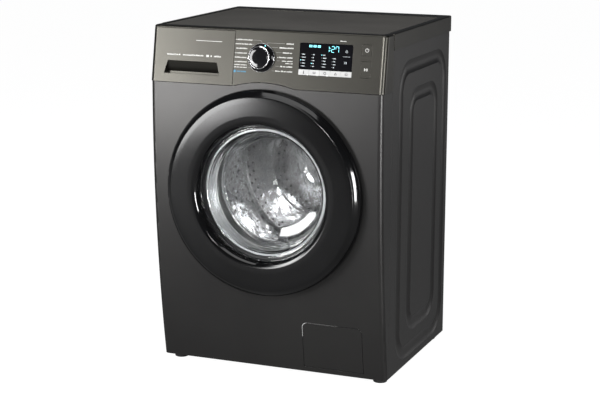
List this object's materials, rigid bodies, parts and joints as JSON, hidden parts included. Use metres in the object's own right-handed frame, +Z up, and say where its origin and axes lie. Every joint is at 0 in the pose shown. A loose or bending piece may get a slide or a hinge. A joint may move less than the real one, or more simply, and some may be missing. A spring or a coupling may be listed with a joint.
{
  "type": "front load washing machine",
  "caption": "Free-standing front load washing machine with a round glass door on the left hinge, detergent drawer, dial and display panel, and a sprung tub with a belt-driven drum.",
  "frame": {"origin": "on the floor under the middle of the machine's bounding box", "axes": "+Z up, the door faces -Y, +X to the right of a person who stands in front of it"},
  "size_m": [0.6, 0.55, 0.85],
  "materials": {
    "graphite_steel": "satin metallic graphite paint on sheet steel",
    "graphite_fascia": "metallic graphite paint on moulded plastic",
    "galvanised": "galvanised sheet",
    "steel": "plain machined steel",
    "stainless": "polished stainless steel",
    "cast_alloy": "die cast aluminium",
    "black_gloss": "black moulded plastic",
    "black_satin": "black moulded plastic, satin",
    "dark_window": "tinted display window",
    "silver_key": "silver painted keys",
    "bowl_glass": "clear pressed glass",
    "grey_rubber": "grey moulded rubber",
    "black_rubber": "black rubber",
    "tub_plastic": "filled polypropylene",
    "white_plastic": "white moulded plastic",
    "concrete": "cast concrete",
    "circuit_green": "circuit board",
    "heater_steel": "heater sheath",
    "top_core": "laminated particle board, graphite"
  },
  "bodies": {
    "cabinet": {"left_side_panel": "graphite_steel", "right_side_panel": "graphite_steel", "front_panel": "graphite_steel", "rear_panel": "galvanised", "rear_service_cover": "galvanised", "top_frame": "graphite_fascia", "top_panel": "top_core", "base_pan": "black_satin", "cross_braces": "galvanised", "control_fascia": "graphite_fascia", "display_window": "dark_window", "control_board": "circuit_green", "knob_bezel": "black_gloss", "dispenser_housing": "white_plastic", "inlet_valve": "white_plastic", "drain_pump": "white_plastic", "foot_lock_nuts": "steel", "door_hinge_bracket": "cast_alloy", "door_lock": "white_plastic", "door_gasket": "grey_rubber", "damper_cylinders": "galvanised"},
    "tub": {"tub_front": "tub_plastic", "tub_rear": "tub_plastic", "front_counterweight": "concrete", "top_counterweight": "concrete", "motor_housing": "cast_alloy", "drive_belt": "black_rubber", "drum_bearings": "steel", "heater_element": "heater_steel", "sump_hose": "black_rubber", "dispenser_hose": "black_rubber", "suspension_springs": "steel", "damper_rods": "steel"},
    "drum": {"drum_shell": "stainless", "drum_lifters": "tub_plastic", "drum_spider": "cast_alloy", "drum_shaft": "steel", "drum_pulley": "cast_alloy"},
    "motor": {"motor_rotor": "steel"},
    "door": {"door_ring": "black_gloss", "door_inner_frame": "black_satin", "door_glass": "bowl_glass", "door_hinge_arm": "cast_alloy"},
    "latch_hook": {"door_hook": "steel"},
    "drawer": {"drawer_front": "graphite_fascia", "drawer_tray": "white_plastic"},
    "knob": {"program_knob": "black_gloss"},
    "hatch": {"filter_hatch": "graphite_fascia"},
    "filter": {"drain_filter": "black_satin"},
    "power_key": {"power_button": "graphite_fascia"},
    "start_key": {"start_button": "graphite_fascia"},
    "option_key_1": {"option_button_1": "silver_key"},
    "option_key_2": {"option_button_2": "silver_key"},
    "option_key_3": {"option_button_3": "silver_key"},
    "option_key_4": {"option_button_4": "silver_key"},
    "option_key_5": {"option_button_5": "silver_key"},
    "front_left_leg": {"front_left_foot": "black_rubber"},
    "front_right_leg": {"front_right_foot": "black_rubber"},
    "rear_left_leg": {"rear_left_foot": "black_rubber"},
    "rear_right_leg": {"rear_right_foot": "black_rubber"}
  },
  "joints": [
    {"name": "tub_bounce", "type": "slide", "parent": "cabinet", "child": "tub", "axis": [0, 0, 1], "range_m": [-0.01, 0.01], "stiffness_N_per_m": 15000, "springref_m": 0.0207, "deforming": ["door_gasket", "suspension_springs", "sump_hose", "dispenser_hose"]},
    {"name": "drum_spin", "type": "hinge", "parent": "tub", "child": "drum", "pos_m": [0, 0, 0.4625], "axis": [0, 1, 0], "continuous": true},
    {"name": "motor_spin", "type": "hinge", "parent": "tub", "child": "motor", "pos_m": [0, 0, 0.13], "axis": [0, 1, 0], "continuous": true},
    {"name": "door_hinge", "type": "hinge", "parent": "cabinet", "child": "door", "pos_m": [-0.2295, -0.264, 0.4625], "axis": [0, 0, -1], "range_deg": [0, 150]},
    {"name": "latch_turn", "type": "hinge", "parent": "door", "child": "latch_hook", "pos_m": [0.197, -0.238, 0.4625], "axis": [0, 0, -1], "range_deg": [0, 8], "stiffness_Nm_per_rad": 0.5},
    {"name": "drawer_slide", "type": "slide", "parent": "cabinet", "child": "drawer", "axis": [0, -1, 0], "range_m": [0, 0.17]},
    {"name": "knob_turn", "type": "hinge", "parent": "cabinet", "child": "knob", "pos_m": [-0.011, -0.23375, 0.7849], "axis": [0, -0.9841, 0.1776], "continuous": true},
    {"name": "hatch_hinge", "type": "hinge", "parent": "cabinet", "child": "hatch", "pos_m": [0.163, -0.19404, 0.03], "axis": [1, 0, 0], "range_deg": [0, 90]},
    {"name": "filter_turn", "type": "hinge", "parent": "cabinet", "child": "filter", "pos_m": [0.163, -0.168, 0.086], "axis": [0, -1, 0], "range_deg": [0, 120]},
    {"name": "option_1_press", "type": "slide", "parent": "cabinet", "child": "option_key_1", "axis": [0, 0.9841, -0.1776], "range_m": [0, 0.0008], "stiffness_N_per_m": 2500, "springref_m": -0.0004},
    {"name": "option_2_press", "type": "slide", "parent": "cabinet", "child": "option_key_2", "axis": [0, 0.9841, -0.1776], "range_m": [0, 0.0008], "stiffness_N_per_m": 2500, "springref_m": -0.0004},
    {"name": "option_3_press", "type": "slide", "parent": "cabinet", "child": "option_key_3", "axis": [0, 0.9841, -0.1776], "range_m": [0, 0.0008], "stiffness_N_per_m": 2500, "springref_m": -0.0004},
    {"name": "option_4_press", "type": "slide", "parent": "cabinet", "child": "option_key_4", "axis": [0, 0.9841, -0.1776], "range_m": [0, 0.0008], "stiffness_N_per_m": 2500, "springref_m": -0.0004},
    {"name": "option_5_press", "type": "slide", "parent": "cabinet", "child": "option_key_5", "axis": [0, 0.9841, -0.1776], "range_m": [0, 0.0008], "stiffness_N_per_m": 2500, "springref_m": -0.0004},
    {"name": "power_press", "type": "slide", "parent": "cabinet", "child": "power_key", "axis": [0, 0.9841, -0.1776], "range_m": [0, 0.0008], "stiffness_N_per_m": 2500, "springref_m": -0.0004},
    {"name": "start_press", "type": "slide", "parent": "cabinet", "child": "start_key", "axis": [0, 0.9841, -0.1776], "range_m": [0, 0.0008], "stiffness_N_per_m": 2500, "springref_m": -0.0004},
    {"name": "front_left_screw", "type": "slide", "parent": "cabinet", "child": "front_left_leg", "axis": [0, 0, -1], "range_m": [0, 0.012]},
    {"name": "front_right_screw", "type": "slide", "parent": "cabinet", "child": "front_right_leg", "axis": [0, 0, -1], "range_m": [0, 0.012]},
    {"name": "rear_left_screw", "type": "slide", "parent": "cabinet", "child": "rear_left_leg", "axis": [0, 0, -1], "range_m": [0, 0.012]},
    {"name": "rear_right_screw", "type": "slide", "parent": "cabinet", "child": "rear_right_leg", "axis": [0, 0, -1], "range_m": [0, 0.012]}
  ],
  "couplings": [
    {"joint": "motor_spin", "follows": "drum_spin", "ratio": 12.727}
  ]
}
